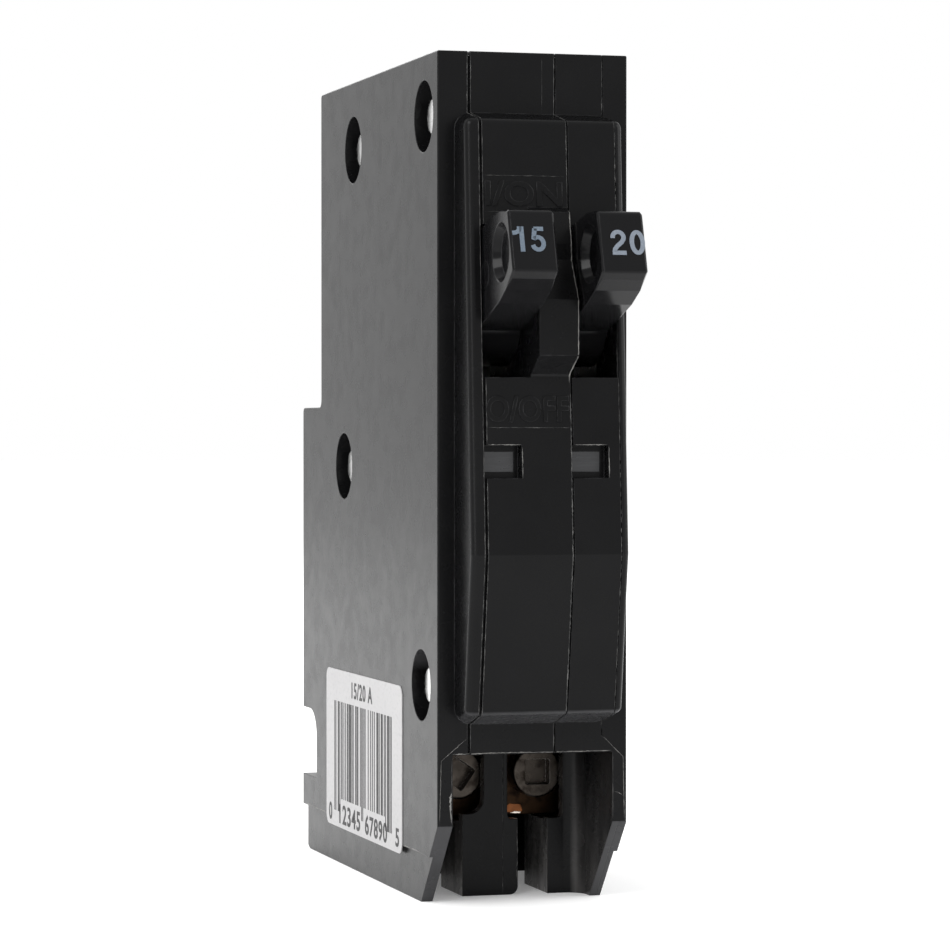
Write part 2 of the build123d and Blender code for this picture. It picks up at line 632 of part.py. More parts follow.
def load_terminal(pole):
    """Plated copper terminal: a pad behind the clamp, and a strap up to the bimetal."""
    x = POLES[pole]
    left, right = TERMINAL_SPAN[pole]
    thick, gap = 1.2, 0.1
    line = [at(place) for place in ((18.4, 68.0), (18.4, 62.2), (34.8, 62.2), (34.8, 57.9))]
    strap = strip(line, thick, x - METAL_HALF, x + METAL_HALF)
    pad = block(left + gap, right - gap, POST_BACK, POST_BACK + thick, up(CHAMBER_BOTTOM_DROP),
                up(LIP_DROP))
    screw_hole = rod_y(SCREW_RADIUS + PIN_CLEARANCE, POST_BACK - 1, POST_BACK + 2, SCREW_X[pole],
                       up(SCREW_DROP))
    setting_hole = rod_y(SETTING_RADIUS + PIN_CLEARANCE, BIMETAL_DEPTH, BIMETAL_DEPTH + 3, x,
                         up(SETTING_DROP))
    return strap + pad - screw_hole - setting_hole


def strap_slot(x):
    """Slot through the sill for the load strap."""
    half_wide = METAL_HALF + 0.1
    return block(x - half_wide, x + half_wide, POST_BACK - 0.05, POST_BACK + 1.25, up(LIP_DROP),
                 up(SILL_DROP - 0.5))


def calibration_screw(x):
    """Slotted setting screw behind the bimetal."""
    height, head_start, head_end = up(SETTING_DROP), 40.0, 41.2
    head_radius, slot_deep, slot_half = 1.5, 0.5, 0.2
    body = rod_y(SETTING_RADIUS, BIMETAL_DEPTH + BIMETAL_THICK, head_start, x, height)
    body += rod_y(head_radius, head_start, head_end, x, height)
    return body - block(x - 2, x + 2, head_end - slot_deep, head_end + 1, height - slot_half,
                        height + slot_half)


def braid(x):
    """Flexible copper braid from the contact arm down to the bimetal."""
    lane, radius, bend = x - 1.35, 0.55, 2.0
    start, first = on_arm(15, -1.5), on_arm(15.3, -6)
    route = [start, first, at((30.2, 33.0)), at((32.4, 38.5)), at((32.84, 44.8))]
    points = [(lane, *place) for place in route]
    path = FilletPolyline(*points, radius=bend)
    return sweep(Plane(origin=points[0], z_dir=path % 0) * Circle(radius), path=path)


# ---- line side ---------------------------------------------------------------------------------
def line_bus():
    """Bar that feeds both poles from the jaw."""
    bottom_drop, top_drop = 26.5, 17.5
    return block(POLES["a"] - METAL_HALF, POLES["b"] + METAL_HALF, BUS_DEPTH,
                 BUS_DEPTH + BUS_THICK, up(bottom_drop), up(top_drop))


def line_jaw():
    """Spring jaw that grips the panel's stab: pinched leaves with a flared mouth."""
    back = BUS_DEPTH + BUS_THICK
    half_thick, wide, pinch = 0.35, 1.9, 0.95
    heel = back + half_thick + 0.05
    leaf = [(0.0, heel), (wide - 0.4, heel), (wide, back + 2), (wide, back + 4.5),
            (pinch, back + 7.6), (wide, back + 9.4)]
    outline = [(-x, y) for x, y in reversed(leaf)] + leaf[1:]
    strap = trace(Polyline(*outline), line_width=2 * half_thick)
    return extrude(Plane.XY.offset(up(JAW_DROPS[1])) * strap, amount=JAW_DROPS[1] - JAW_DROPS[0])


def line_strap(x):
    """Strap from the bus, over and down to the fixed contact."""
    thick, lift = 1.0, 3.5
    tip, knee = on_arm(ARM_LENGTH - 2.6, lift), on_arm(ARM_LENGTH + 2.5, lift)
    depth = BUS_DEPTH - thick / 2
    return strip([(depth, up(22.0)), (depth, knee[1]), knee, tip], thick, x - METAL_HALF,
                 x + METAL_HALF)


def arc_plates(x):
    """Stack of steel plates that cool the arc, on a fibre backing."""
    front, back, backing, half_thick, pitch = 32.3, 34.6, 0.5, 0.25, 1.6
    drops = [15.8 + pitch * i for i in range(5)]
    stack = block(x - 2.0, x + 2.0, back, back + backing, up(drops[-1] + 0.4), up(drops[0] - 0.4))
    for drop in drops:
        stack += block(x - 2.0, x + 2.0, front, back, up(drop) - half_thick, up(drop) + half_thick)
    return stack


# ---- wire clamp --------------------------------------------------------------------------------
def clamp_plate(pole):
    """Pressure plate under the screw head, wide enough to cover the wire channel."""
    gap, thick, corner = 0.25, 1.2, 0.5
    plate = block(CHAMBER_LEFT[pole] + gap, TERMINAL_SPAN[pole][1] - gap, HEAD_BACK, HEAD_BACK + thick,
                  up(CHAMBER_BOTTOM_DROP - gap), up(LIP_DROP - 0.2))
    hole = rod_y(SCREW_RADIUS + 0.2, HEAD_BACK - 1, HEAD_BACK + 3, SCREW_X[pole], up(SCREW_DROP))
    return fillet(plate.edges().filter_by(Axis.Y), corner) - hole


def terminal_screw(pole):
    """Terminal screw: a flat head with a square socket, backed out as supplied."""
    x, height = SCREW_X[pole], up(SCREW_DROP)
    tip, rim_rounding, socket_half, socket_deep, socket_corner = 23.0, 0.3, 1.25, 1.3, 0.25
    head = rod_y(HEAD_RADIUS, HEAD_FRONT, HEAD_BACK, x, height)
    head = fillet(head.edges().filter_by(GeomType.CIRCLE).sort_by(Axis.Y)[0], rim_rounding)
    socket = block(-socket_half, socket_half, HEAD_FRONT - 1, HEAD_FRONT + socket_deep,
                   -socket_half, socket_half)
    socket = fillet(socket.edges().filter_by(Axis.Y), socket_corner)
    turned = Pos(x, 0, height) * Rot(Y=SCREW_TURN[pole]) * socket
    return head + rod_y(SCREW_RADIUS, HEAD_BACK, tip, x, height) - turned


# ---- everything, by node name ------------------------------------------------------------------
def pins(pole):
    """Pivot pins of one pole, held between its two walls."""
    span = pin_spans()[pole]
    made = {f"{name}_{pole}": rod_x(radius, *span, *at(place))
            for name, (place, radius) in PIVOT_PINS.items()}
    x = POLES[pole]
    made[f"arm_pivot_{pole}"] = rod_x(CRANK_PIN_RADIUS, x - METAL_HALF, x + 0.5, *crank_pin())
    return made


def pole_parts(pole):
    """Every piece of one pole's mechanism."""
    x = POLES[pole]
    parts = pins(pole)
    parts.update({
        f"handle_{pole}": handle(pole),
        f"contact_arm_{pole}": contact_arm(x),
        f"moving_contact_{pole}": contact_button(x, 1.3),
        f"fixed_contact_{pole}": contact_button(x, 2.2),
        f"toggle_spring_{pole}": toggle_spring(x),
        f"trip_lever_{pole}": trip_lever(x),
        f"indicator_flag_{pole}": indicator_flag(x),
        f"indicator_lens_{pole}": indicator_lens(pole),
        f"armature_{pole}": armature(x),
        f"armature_spring_{pole}": armature_spring(x),
        f"magnet_yoke_{pole}": magnet_yoke(x),
        f"bimetal_{pole}": bimetal(x),
        f"calibration_screw_{pole}": calibration_screw(x),
        f"load_terminal_{pole}": load_terminal(pole),
        f"braid_{pole}": braid(x),
        f"line_strap_{pole}": line_strap(x),
        f"arc_plates_{pole}": arc_plates(x),
        f"clamp_plate_{pole}": clamp_plate(pole),
        f"terminal_screw_{pole}": terminal_screw(pole),
    })
    return parts


def all_parts():
    """Every node of the breaker in the working frame."""
    parts = case_parts()
    for pole in POLES:
        parts.update(pole_parts(pole))
    parts["rivets"] = rivets()
    parts["side_label"] = side_label()
    parts["line_bus"] = line_bus()
    parts["line_jaw"] = line_jaw()
    return parts


def main():
    os.makedirs("parts", exist_ok=True)
    parts = all_parts()
    front = min(part.bounding_box().min.Y for part in parts.values())
    shift = -(front + LOWER_DEPTH) / 2
    for name, part in parts.items():
        export_step(Pos(0, shift, 0) * part, f"parts/{name}.step")
    print("shift along Y:", round(shift, 4))
    crank = crank_pin()
    print("crank pin:", round(crank[0] + shift, 4), round(crank[1], 4))


main()
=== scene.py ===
import json
import math
import random

import bmesh
import bpy
from mathutils import Matrix, Vector
from mathutils.bvhtree import BVHTree


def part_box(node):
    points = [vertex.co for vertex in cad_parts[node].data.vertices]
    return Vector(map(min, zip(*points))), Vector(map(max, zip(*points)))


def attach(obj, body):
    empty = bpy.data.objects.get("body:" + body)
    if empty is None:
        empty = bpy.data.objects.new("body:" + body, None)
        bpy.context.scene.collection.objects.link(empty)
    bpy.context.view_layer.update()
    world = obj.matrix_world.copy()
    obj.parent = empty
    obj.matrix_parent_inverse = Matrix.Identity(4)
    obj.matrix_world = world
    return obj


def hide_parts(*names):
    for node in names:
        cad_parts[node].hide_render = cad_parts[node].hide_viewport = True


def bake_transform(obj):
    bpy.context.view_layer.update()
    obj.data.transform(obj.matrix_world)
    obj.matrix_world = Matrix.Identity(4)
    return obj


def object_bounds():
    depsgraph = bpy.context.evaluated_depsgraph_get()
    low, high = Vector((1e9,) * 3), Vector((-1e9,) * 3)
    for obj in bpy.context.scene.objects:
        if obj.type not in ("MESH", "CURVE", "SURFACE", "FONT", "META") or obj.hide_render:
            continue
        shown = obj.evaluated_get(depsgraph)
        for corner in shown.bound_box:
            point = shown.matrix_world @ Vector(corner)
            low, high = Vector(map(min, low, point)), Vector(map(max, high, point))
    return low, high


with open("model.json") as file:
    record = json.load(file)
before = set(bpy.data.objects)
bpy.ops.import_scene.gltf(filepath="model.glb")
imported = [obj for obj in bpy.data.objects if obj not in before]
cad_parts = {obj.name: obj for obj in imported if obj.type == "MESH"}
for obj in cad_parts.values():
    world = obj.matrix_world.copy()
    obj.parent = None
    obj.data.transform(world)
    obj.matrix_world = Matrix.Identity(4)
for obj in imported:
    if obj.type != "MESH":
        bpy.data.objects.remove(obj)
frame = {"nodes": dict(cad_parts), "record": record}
cad_low, cad_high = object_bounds()

# A twin plug-on breaker: two thin poles in one black moulded case. Lengths are metres in the packed
# part's frame: X to the right, +Y from the front into the panel, Z up from the wire end.
MM = 0.001

# ---- places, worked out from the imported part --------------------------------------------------
CASE_NODES = ("left_cover", "left_case", "right_case", "right_cover")
CASE_DEPTH = 55.37 * MM
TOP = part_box("left_case")[1].z
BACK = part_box("left_case")[1].y
FRONT = BACK - CASE_DEPTH
LEFT_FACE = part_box("left_cover")[0].x
LEFT_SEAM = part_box("left_case")[0].x
RIGHT_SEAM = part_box("right_cover")[0].x
CENTRE_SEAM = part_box("indicator_lens_b")[0].x
WIRE_END = TOP - 67.0 * MM
LEDGE_DROP = 76.42
POLES = ("a", "b")
RATINGS = {"a": "15", "b": "20"}

# handles at rest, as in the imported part: pivot, lean above level, and grip face's distance from it
PIVOT_DROP, PIVOT_BACK = 23.75, 3.0
HANDLE_LEAN = math.radians(17.3)
HANDLE_REACH = 17.45 * MM


def height(drop):
    """Height of a place that lies drop millimetres below the case's top edge."""
    return TOP - drop * MM


def depth(back):
    """Y of a place that lies back millimetres behind the case's front face."""
    return FRONT + back * MM


# ---- node materials ---------------------------------------------------------------------------
class Finish:
    """One material's nodes, with the few patterns that the finishes are mixed from."""

    def __init__(self, name, **sockets):
        self.material = bpy.data.materials.new(name)
        self.material.use_nodes = True
        self.tree = self.material.node_tree
        self.shader = self.tree.nodes["Principled BSDF"]
        for socket, value in sockets.items():
            self.shader.inputs[socket.replace("_", " ")].default_value = value
        self.place = self.node("ShaderNodeTexCoord").outputs["Object"]
        self.rounded = None

    def node(self, kind, **settings):
        made = self.tree.nodes.new(kind)
        for name, value in settings.items():
            setattr(made, name, value)
        return made

    def link(self, source, target):
        self.tree.links.new(source, target)

    def stretched(self, stretch):
        """Object coordinates scaled by a factor for each axis."""
        mapping = self.node("ShaderNodeMapping")
        mapping.inputs["Scale"].default_value = stretch
        self.link(self.place, mapping.inputs["Vector"])
        return mapping.outputs["Vector"]

    def noise(self, size, detail=3.0, stretch=(1, 1, 1), lift=0.0):
        """Soft noise whose blotches are about size across."""
        made = self.node("ShaderNodeTexNoise", noise_dimensions="4D")
        made.inputs["Scale"].default_value = 1 / size
        made.inputs["Detail"].default_value = detail
        made.inputs["W"].default_value = lift
        self.link(self.stretched(stretch), made.inputs["Vector"])
        return made.outputs["Fac"]

    def specks(self, size, share):
        """Small separate dots: 1 inside a dot, 0 elsewhere. share is the part of cells that has one."""
        cells = self.node("ShaderNodeTexVoronoi")
        cells.inputs["Scale"].default_value = 1 / size
        self.link(self.place, cells.inputs["Vector"])
        near = self.ramp(cells.outputs["Distance"], [(0.05, 1.0), (0.16, 0.0)])
        chosen = self.node("ShaderNodeSeparateColor")
        self.link(cells.outputs["Color"], chosen.inputs["Color"])
        picked = self.ramp(chosen.outputs["Red"], [(share * 0.9, 1.0), (share, 0.0)])
        return self.maths("MULTIPLY", near, picked)

    def ramp(self, source, stops):
        """Source looked up on a line of (position, grey) stops."""
        made = self.node("ShaderNodeValToRGB")
        made.color_ramp.interpolation = "LINEAR"
        while len(made.color_ramp.elements) < len(stops):
            made.color_ramp.elements.new(0.5)
        for element, (position, value) in zip(made.color_ramp.elements, stops):
            element.position = min(max(position, 0.0), 1.0)
            element.color = (value, value, value, 1)
        self.link(source, made.inputs["Fac"])
        return made.outputs["Color"]

    def maths(self, operation, first, second):
        made = self.node("ShaderNodeMath", operation=operation)
        for socket, value in zip(made.inputs, (first, second)):
            if isinstance(value, (int, float)):
                socket.default_value = value
            else:
                self.link(value, socket)
        return made.outputs["Value"]

    def mix(self, share, low, high):
        """Colour between low and high, each a colour or another socket."""
        made = self.node("ShaderNodeMix", data_type="RGBA")
        self.link(share, made.inputs["Factor"])
        for socket, value in ((made.inputs[6], low), (made.inputs[7], high)):
            if isinstance(value, tuple):
                socket.default_value = (*value, 1)
            else:
                self.link(value, socket)
        return made.outputs[2]

    def edges(self, radius):
        """1 along sharp edges and 0 on flat faces, with the rounded normal that they share."""
        rounded = self.node("ShaderNodeBevel", samples=4)
        rounded.inputs["Radius"].default_value = radius
        plain = self.node("ShaderNodeNewGeometry")
        agree = self.node("ShaderNodeVectorMath", operation="DOT_PRODUCT")
        self.link(rounded.outputs["Normal"], agree.inputs[0])
        self.link(plain.outputs["Normal"], agree.inputs[1])
        self.rounded = rounded.outputs["Normal"]
        return self.ramp(agree.outputs["Value"], [(0.80, 1.0), (0.985, 0.0)])

    def facing(self, axis, turn):
        """1 on faces that look along turn times the axis, 0 on all others."""
        parts = self.node("ShaderNodeSeparateXYZ")
        self.link(self.node("ShaderNodeNewGeometry").outputs["Normal"], parts.inputs["Vector"])
        return self.ramp(self.maths("MULTIPLY", parts.outputs[axis], turn), [(0.35, 0.0), (0.65, 1.0)])

    def between(self, axis, none, full):
        """0 to 1 as the object coordinate on an axis goes from none to full."""
        parts = self.node("ShaderNodeSeparateXYZ")
        self.link(self.place, parts.inputs["Vector"])
        made = self.node("ShaderNodeMapRange")
        made.inputs["From Min"].default_value = none
        made.inputs["From Max"].default_value = full
        self.link(parts.outputs[axis], made.inputs["Value"])
        return made.outputs["Result"]

    def bump(self, source, strength, distance):
        """Bump from source, laid over any bump or rounding made before."""
        made = self.node("ShaderNodeBump")
        made.inputs["Strength"].default_value = strength
        made.inputs["Distance"].default_value = distance
        self.link(source, made.inputs["Height"])
        if self.rounded is not None:
            self.link(self.rounded, made.inputs["Normal"])
        self.rounded = made.outputs["Normal"]
        self.link(self.rounded, self.shader.inputs["Normal"])

    def colour(self, source):
        self.link(source, self.shader.inputs["Base Color"])

    def roughness(self, source, low, high):
        self.link(self.ramp(source, [(0.25, low), (0.75, high)]), self.shader.inputs["Roughness"])


# drops between which the painted floor reflection on faces that look down grows from slight to full
SHEEN_DROPS = (45, 55)
SLIGHT_SHEEN = 0.12
# pale tone painted on inner faces that look left, standing in for the light they catch
SIDE_LIGHT_TONE = (0.23, 0.22, 0.215)
DUST = (0.16, 0.155, 0.15)


def painted_floor_sheen(finish, blotch):
    """Share of painted floor reflection: paler, patchy colour on faces that look down, most of all near
    the wire end.
    """
    low = finish.ramp(finish.between("Z", *map(height, SHEEN_DROPS)), [(0, SLIGHT_SHEEN), (1, 1)])
    patchy = finish.ramp(blotch, [(0.3, 0.55), (0.6, 1)])
    return finish.maths("MULTIPLY", finish.facing("Z", -1.0), finish.maths("MULTIPLY", low, patchy))


def painted_side_light(finish):
    """Share of painted light: paler streaks on inner faces at the wire end that look left, where light
    falls on them, less toward the right wall.
    """
    streaks = finish.ramp(finish.noise(1.6 * MM, 5, stretch=(1, 1, 0.3), lift=4),
                          [(0.36, 0.4), (0.66, 1)])
    behind_skin = finish.between("X", LEFT_FACE + 1.4 * MM, LEFT_FACE + 1.6 * MM)
    lowness = finish.between("Z", WIRE_END + 1.5 * MM, WIRE_END - 12 * MM)
    inside = finish.maths("MULTIPLY", behind_skin, lowness)
    fading = finish.ramp(finish.between("X", 2 * MM, 8 * MM), [(0, 1.0), (1, 0.16)])
    streaked = finish.maths("MULTIPLY", finish.facing("X", -1.0),
                            finish.maths("MULTIPLY", inside, streaks))
    return finish.maths("MULTIPLY", streaked, fading)


def moulded_plastic(name, dark, pale, gloss, wear_and_sheen, dust=0.012, shine=0.11, lit_inner_faces=False):
    """Black phenolic: faint blotches, a fine grain, a painted floor reflection on faces that look down,
    worn edges, a little dust.

    The wear colour goes on worn edges and also paints the floor reflection on faces that look down; dust
    is the share of specks, and the last flag adds painted light on inner faces that look left.
    """
    finish = Finish(name, IOR=1.5, Specular_IOR_Level=shine)
    edge = finish.edges(0.14 * MM)
    blotch = finish.noise(7 * MM, detail=4)
    worn = finish.maths("MULTIPLY", edge, finish.ramp(finish.noise(1.3 * MM, 5), [(0.42, 0), (0.7, 1)]))
    base = finish.mix(blotch, dark, pale)
    # painted floor reflection: the wear colour on faces that look down
    base = finish.mix(painted_floor_sheen(finish, blotch), base, wear_and_sheen)
    # painted light: paler streaks on inner faces that look left
    if lit_inner_faces:
        base = finish.mix(painted_side_light(finish), base, SIDE_LIGHT_TONE)
    base = finish.mix(worn, base, wear_and_sheen)
    base = finish.mix(finish.specks(1.5 * MM, dust), base, DUST)
    finish.colour(base)
    finish.roughness(finish.noise(2.2 * MM, 5), *gloss)
    finish.bump(finish.noise(0.22 * MM, 2), 0.12, 0.02 * MM)
    return finish.material


def metal(name, dark, pale, gloss, grain=(1, 1, 1), stain=None, scratch=0.10, patch=1.6, rim_highlight=0.0):
    """Bare or plated metal: drawn grain, patches of tarnish, and edges painted brighter, partly worn
    metal and partly a painted highlight; rim adds more painted highlight.
    """
    finish = Finish(name, Metallic=1.0)
    edge = finish.edges(0.08 * MM)
    patches = finish.noise(patch * MM, detail=5)
    base = finish.mix(patches, dark, pale)
    if stain is not None:
        spots = finish.ramp(finish.noise(0.9 * MM, 6, lift=2), [(0.52, 0), (0.68, 1)])
        base = finish.mix(spots, base, stain)
    # edges painted brighter: worn metal and a painted highlight; the rim amount is all painted highlight
    base = finish.mix(edge, base, tuple(min(1.0, value * 1.25 + rim_highlight) for value in pale))
    finish.colour(base)
    finish.roughness(finish.noise(0.8 * MM, 4, lift=5), *gloss)
    finish.bump(finish.noise(0.16 * MM, 2, stretch=grain), scratch, 0.02 * MM)
    return finish.material


def case_plastic():
    # the case carries painted light on its inner faces that look left
    return moulded_plastic("case_black", (0.0020, 0.0020, 0.0022), (0.0050, 0.0050, 0.0053),
                           (0.22, 0.31), (0.045, 0.045, 0.047), lit_inner_faces=True)


def handle_plastic():
    return moulded_plastic("handle_black", (0.0022, 0.0022, 0.0025), (0.0055, 0.0055, 0.006),
                           (0.12, 0.20), (0.05, 0.05, 0.052), dust=0.008, shine=0.13)


def flag_plastic():
    return moulded_plastic("flag_red", (0.42, 0.05, 0.02), (0.52, 0.07, 0.03), (0.35, 0.45),
                           (0.6, 0.2, 0.15))


def lens_plastic():
    """Pane that reads as a dull grey bar: smoky, with fine scratches along it."""
    finish = Finish("lens_grey", IOR=1.49, Specular_IOR_Level=0.5)
    streaks = finish.noise(0.5 * MM, 4, stretch=(0.25, 1, 2.5))
    finish.colour(finish.mix(streaks, (0.004, 0.004, 0.005), (0.032, 0.033, 0.036)))
    finish.roughness(finish.noise(0.6 * MM, 4, stretch=(0.3, 1, 1)), 0.22, 0.42)
    finish.bump(streaks, 0.25, 0.03 * MM)
    return finish.material


def label_paper():
    """Coated white paper with a faint fibre."""
    finish = Finish("label_white", IOR=1.45, Specular_IOR_Level=0.3)
    fibre = finish.noise(0.35 * MM, 5, stretch=(1, 0.5, 1))
    cloud = finish.noise(6 * MM, 3)
    base = finish.mix(cloud, (0.38, 0.375, 0.38), (0.42, 0.415, 0.415))
    base = finish.mix(finish.ramp(fibre, [(0.55, 0), (0.8, 1)]), base, (0.34, 0.34, 0.345))
    finish.colour(base)
    finish.roughness(fibre, 0.45, 0.62)
    finish.bump(fibre, 0.12, 0.02 * MM)
    return finish.material


def ink(name, dark, pale, gloss=(0.5, 0.65)):
    """Print or paint with small thin spots where the ink has not covered."""
    finish = Finish(name, IOR=1.45, Specular_IOR_Level=0.3)
    cover = finish.noise(0.12 * MM, 4)
    finish.colour(finish.mix(finish.ramp(cover, [(0.45, 0), (0.75, 1)]), dark, pale))
    finish.roughness(finish.noise(0.4 * MM, 3), *gloss)
    finish.bump(cover, 0.1, 0.01 * MM)
    return finish.material


def flash_plastic(name, solid, torn_from, torn_to, pale):
    """Thin plastic flash, solid in places and torn and pale in others."""
    finish = Finish(name, IOR=1.5, Specular_IOR_Level=0.4)
    torn = finish.ramp(finish.noise(0.9 * MM, 6), [(torn_from, 0), (torn_to, 1)])
    finish.colour(finish.mix(torn, solid, pale))
    finish.roughness(finish.noise(0.3 * MM, 3), 0.45, 0.7)
    finish.bump(finish.noise(0.1 * MM, 3), 0.4, 0.03 * MM)
    return finish.material


def flash_tones():
    """Dull flash for most seams, and pale flash with a painted highlight for the ridges that catch the
    light.
    """
    return {"dull": flash_plastic("flash_line", (0.016, 0.016, 0.016), 0.44, 0.66, (0.095, 0.093, 0.09)),
            "pale": flash_plastic("flash_with_highlight", (0.035, 0.035, 0.035), 0.30, 0.60, (0.20, 0.195, 0.185))}


def slot_materials():
    """A finish for each material slot of the record."""
    steel_dark, steel_pale = (0.38, 0.37, 0.36), (0.56, 0.55, 0.53)
    return {
        "case_plastic": case_plastic(),
        "handle_plastic": handle_plastic(),
        "flag_plastic": flag_plastic(),
        "lens_plastic": lens_plastic(),
        "label_paper": label_paper(),
        "rivet_nickel": metal("rivet_nickel", (0.80, 0.80, 0.79), (0.93, 0.93, 0.92), (0.12, 0.24),
                              scratch=0.03),
        "copper": metal("copper", (0.62, 0.27, 0.16), (0.86, 0.46, 0.30), (0.24, 0.42),
                        stain=(0.30, 0.12, 0.07)),
        "plated_copper": metal("plated_copper", (0.30, 0.27, 0.23), (0.52, 0.49, 0.43), (0.26, 0.46),
                               stain=(0.20, 0.14, 0.09)),
        "pin_steel": metal("pin_steel", (0.50, 0.50, 0.50), (0.66, 0.66, 0.65), (0.15, 0.3),
                           grain=(1, 8, 8)),
        "spring_steel": metal("spring_steel", (0.46, 0.46, 0.46), (0.64, 0.64, 0.63), (0.18, 0.34)),
        "stamped_steel": metal("stamped_steel", steel_dark, steel_pale, (0.28, 0.48),
                               grain=(8, 8, 1), stain=(0.24, 0.19, 0.15)),
        "contact_silver": metal("contact_silver", (0.74, 0.73, 0.70), (0.92, 0.91, 0.88), (0.3, 0.5),
                                stain=(0.28, 0.25, 0.22)),
        "bimetal": metal("bimetal", (0.46, 0.42, 0.36), (0.62, 0.57, 0.49), (0.28, 0.42),
                         grain=(8, 8, 1)),
        # brass colour is near black: tarnish and painted shade for clamps that sit in the dark access
        # holes
        "brass": metal("brass", (0.010, 0.006, 0.004), (0.032, 0.018, 0.010), (0.26, 0.44),
                       stain=(0.006, 0.004, 0.003)),
        # screw heads: the rim amount paints a highlight along the head's edge
        "screw_steel": metal("screw_steel", (0.016, 0.013, 0.011), (0.065, 0.056, 0.048), (0.22, 0.38),
                             stain=(0.014, 0.011, 0.009), scratch=0.2, patch=1.4, rim_highlight=0.30),
    }


def dress_cad_nodes(finishes):
    """Every carried-over CAD node gets its slot's finish."""
    for part in frame["record"]["subparts"]:
        node = frame["nodes"][part["node"]]
        node.data.materials.clear()
        node.data.materials.append(finishes[part["material_slot"]])


# ---- making meshes -----------------------------------------------------------------------------
def piece(name, mesh, material, body):
    """New object of the part, with its finish, riding on a body."""
    made = bpy.data.objects.new(name, mesh)
    bpy.context.scene.collection.objects.link(made)
    made.data.materials.clear()
    made.data.materials.append(material)
    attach(made, body)


def mesh_of(name, build):
    """Mesh that the function build fills in a fresh bmesh."""
    shape = bmesh.new()
    build(shape)
    bmesh.ops.recalc_face_normals(shape, faces=shape.faces)
    mesh = bpy.data.meshes.new(name)
    shape.to_mesh(mesh)
    shape.free()
    return mesh


def plane_matrix(origin, right, above):
    """Placement whose X is right and whose Y is above."""
    right, above = Vector(right).normalized(), Vector(above).normalized()
    out = right.cross(above)
    turned = Matrix((right, above, out)).transposed()
    return Matrix.Translation(origin) @ turned.to_4x4()


def lettering(name, words, wide, tall, place, thick, bold=0.0, spacing=1.0):
    """Raised or printed letters as a mesh, wide by tall: place is at the words' middle."""
    curve = bpy.data.curves.new(name, "FONT")
    curve.body = words
    curve.space_character = spacing
    curve.offset = bold
    curve.extrude = 0.5
    curve.resolution_u = 4
    helper = bpy.data.objects.new(name, curve)
    bpy.context.scene.collection.objects.link(helper)
    bpy.context.view_layer.update()
    mesh = bpy.data.meshes.new_from_object(helper.evaluated_get(bpy.context.evaluated_depsgraph_get()))
    bpy.data.objects.remove(helper)
    xs, ys = [v.co.x for v in mesh.vertices], [v.co.y for v in mesh.vertices]
    grow = Matrix.Diagonal((wide / (max(xs) - min(xs)), tall / (max(ys) - min(ys)), thick, 1))
    middle = Matrix.Translation((-(min(xs) + max(xs)) / 2, -(min(ys) + max(ys)) / 2, 0))
    mesh.transform(place @ grow @ middle)
    mesh.name = name
    return mesh


def add_box(shape, low, high, place):
    """Box between two corners, put in place."""
    corners = [(x, y, z) for x in (low[0], high[0]) for y in (low[1], high[1])
               for z in (low[2], high[2])]
    points = [shape.verts.new(place @ Vector(corner)) for corner in corners]
    for face in ((0, 1, 3, 2), (4, 6, 7, 5), (0, 4, 5, 1), (2, 3, 7, 6), (0, 2, 6, 4), (1, 5, 7, 3)):
        shape.faces.new([points[i] for i in face])


# ---- print on the side label -------------------------------------------------------------------
BAR_CODES = ("0001101", "0011001", "0010011", "0111101", "0100011", "0110001", "0101111", "0111011",
             "0110111", "0001011")
SAMPLE_DIGITS = "012345678905"
PRINT_THICK = 0.02 * MM


def bar_pattern():
    """Strips of the sample barcode, as (first module, width, tall)."""
    half = len(SAMPLE_DIGITS) // 2
    modules, tall = "101", [True] * 3
    for i, digit in enumerate(SAMPLE_DIGITS):
        code = BAR_CODES[int(digit)]
        if i >= half:
            code = "".join("10"[int(bit)] for bit in code)
        if i == half:
            modules, tall = modules + "01010", tall + [True] * 5
        modules += code
        tall += [i in (0, len(SAMPLE_DIGITS) - 1)] * len(code)
    modules, tall = modules + "101", tall + [True] * 3
    strips, start = [], None
    for i, bit in enumerate(modules + "0"):
        if bit == "1" and start is None:
            start = i
        if bit == "0" and start is not None:
            strips.append((start, i - start, tall[start]))
            start = None
    return strips, len(modules)


# the label's layout as shares of its width and height
BARS_LEFT, BARS_RIGHT, BARS_TOP = 0.115, 0.875, 0.20
SHORT_FOOT, LONG_FOOT = 0.815, 0.900

# its rows of print: name, words, middle across and down as shares, width and height in mm
LABEL_ROWS = [
    ("heading", "15/20 A", 0.49, 0.108, 8.6, 1.7),
    ("first_digit", "0", 0.06, 0.915, 1.35, 1.85),
    ("left_digits", "12345", 0.325, 0.912, 8.9, 2.05),
    ("right_digits", "67890", 0.675, 0.912, 8.9, 2.05),
    ("last_digit", "5", 0.945, 0.910, 1.35, 1.85),
]


def label_print(black):
    """Bars, heading and digits on the label, all in one generic pattern."""
    low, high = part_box("side_label")
    wide, tall = high.y - low.y, high.z - low.z
    face = plane_matrix((low.x - PRINT_THICK / 2, high.y, high.z), (0, -1, 0), (0, 0, 1))
    left, right = BARS_LEFT * wide, BARS_RIGHT * wide
    strips, count = bar_pattern()
    module = (right - left) / count

    def bars(shape):
        for start, width, long in strips:
            x = left + start * module
            foot = -LONG_FOOT * tall if long else -SHORT_FOOT * tall
            add_box(shape, (x, foot, -PRINT_THICK / 2),
                    (x + width * module, -BARS_TOP * tall, PRINT_THICK / 2), face)

    piece("label_bars", mesh_of("label_bars", bars), black, "housing")
    for name, words, across, down, row_wide, row_tall in LABEL_ROWS:
        place = face @ Matrix.Translation((across * wide, -down * tall, 0))
        mesh = lettering(f"label_{name}", words, row_wide * MM, row_tall * MM, place, PRINT_THICK,
                         0.02, 1.12)
        piece(f"label_{name}", mesh, black, "housing")


